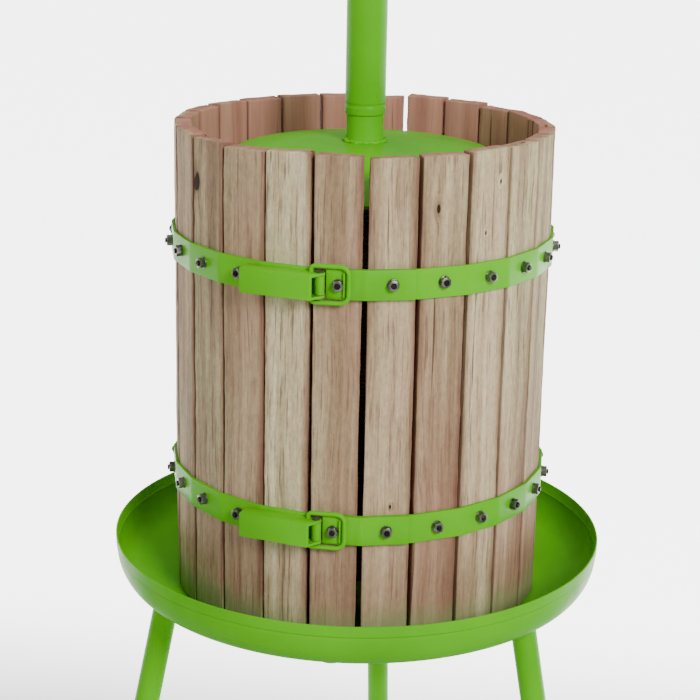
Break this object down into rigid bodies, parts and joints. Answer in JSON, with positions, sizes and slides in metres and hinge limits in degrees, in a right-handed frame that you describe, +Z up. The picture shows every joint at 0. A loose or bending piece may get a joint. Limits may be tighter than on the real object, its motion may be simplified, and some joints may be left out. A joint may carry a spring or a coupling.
{
  "type": "basket wine press",
  "caption": "Basket wine press: slatted two-half basket with banded staves and toggle latches in a steel basin on tripod legs, pressed by a screw-driven plate and T-handle tube.",
  "frame": {"origin": "on the floor, under the axis of the screw", "axes": "+Z up along the screw, -Y the front with the drain and the latches, +X to the right seen from the front"},
  "size_m": [0.558, 0.6706, 1.3733],
  "materials": {
    "green_paint": "bright green gloss enamel on steel",
    "staves": "raw beech, brushed, with wine stains",
    "zinc_steel": "zinc-plated steel",
    "black_rubber": "matt black moulded rubber"
  },
  "bodies": {
    "root": {"basin": "green_paint", "drain_spout": "green_paint", "leg_left": "green_paint", "leg_right": "green_paint", "leg_rear": "green_paint", "leg_stud_left": "zinc_steel", "leg_stud_right": "zinc_steel", "leg_stud_rear": "zinc_steel", "foot_left": "black_rubber", "foot_right": "black_rubber", "foot_rear": "black_rubber", "screw": "zinc_steel", "screw_nut": "zinc_steel", "stave_right_01": "staves", "stave_right_02": "staves", "stave_right_03": "staves", "stave_right_04": "staves", "stave_right_05": "staves", "stave_right_06": "staves", "stave_right_07": "staves", "stave_right_08": "staves", "stave_right_09": "staves", "stave_right_10": "staves", "stave_right_11": "staves", "stave_right_12": "staves", "band_right_upper": "green_paint", "band_right_lower": "green_paint", "latch_keeper_upper": "green_paint", "latch_keeper_lower": "green_paint", "hinge_pin_upper": "zinc_steel", "hinge_pin_lower": "zinc_steel"},
    "left_half_basket": {"stave_left_01": "staves", "stave_left_02": "staves", "stave_left_03": "staves", "stave_left_04": "staves", "stave_left_05": "staves", "stave_left_06": "staves", "stave_left_07": "staves", "stave_left_08": "staves", "stave_left_09": "staves", "stave_left_10": "staves", "stave_left_11": "staves", "stave_left_12": "staves", "band_left_upper": "green_paint", "band_left_lower": "green_paint", "latch_pin_upper": "zinc_steel", "latch_pin_lower": "zinc_steel"},
    "upper_lever": {"latch_lever_upper": "green_paint"},
    "upper_loop": {"latch_loop_upper": "green_paint"},
    "lower_lever": {"latch_lever_lower": "green_paint"},
    "lower_loop": {"latch_loop_lower": "green_paint"},
    "plate": {"press_plate": "green_paint", "plate_collar": "green_paint"},
    "press_tube": {"press_tube": "green_paint", "drive_nut": "zinc_steel", "tube_cap": "black_rubber", "handle_bar": "green_paint", "grip_front": "black_rubber", "grip_rear": "black_rubber", "bar_bolt": "zinc_steel"}
  },
  "joints": [
    {"name": "plate_travel", "type": "slide", "parent": "root", "child": "plate", "axis": [0, 0, 1], "range_m": [-0.375, 0.03]},
    {"name": "handle_turn", "type": "hinge", "parent": "plate", "child": "press_tube", "pos_m": [0, 0, 0.8985], "axis": [0, 0, 1], "range_deg": [-26999, 2159]},
    {"name": "basket_open", "type": "hinge", "parent": "root", "child": "left_half_basket", "pos_m": [0.02721, 0.20672, 0.3808], "axis": [0, 0, -1], "range_deg": [0, 3]},
    {"name": "upper_lever_turn", "type": "hinge", "parent": "left_half_basket", "child": "upper_lever", "pos_m": [-0.01652, -0.20925, 0.7655], "axis": [0, 0, 1], "range_deg": [0, 100]},
    {"name": "upper_loop_turn", "type": "hinge", "parent": "upper_lever", "child": "upper_loop", "pos_m": [-0.02502, -0.20698, 0.7655], "axis": [0, 0, -1], "range_deg": [0, 145]},
    {"name": "lower_lever_turn", "type": "hinge", "parent": "left_half_basket", "child": "lower_lever", "pos_m": [-0.01652, -0.20925, 0.5115], "axis": [0, 0, 1], "range_deg": [0, 100]},
    {"name": "lower_loop_turn", "type": "hinge", "parent": "lower_lever", "child": "lower_loop", "pos_m": [-0.02502, -0.20698, 0.5115], "axis": [0, 0, -1], "range_deg": [0, 145]}
  ],
  "couplings": [
    {"joint": "plate_travel", "follows": "handle_turn", "m_per_rad": 0.00079577},
    {"joint": "upper_lever_turn", "follows": "basket_open", "ratio": 33.3},
    {"joint": "upper_loop_turn", "follows": "basket_open", "ratio": 48.3},
    {"joint": "lower_lever_turn", "follows": "basket_open", "ratio": 33.3},
    {"joint": "lower_loop_turn", "follows": "basket_open", "ratio": 48.3}
  ]
}
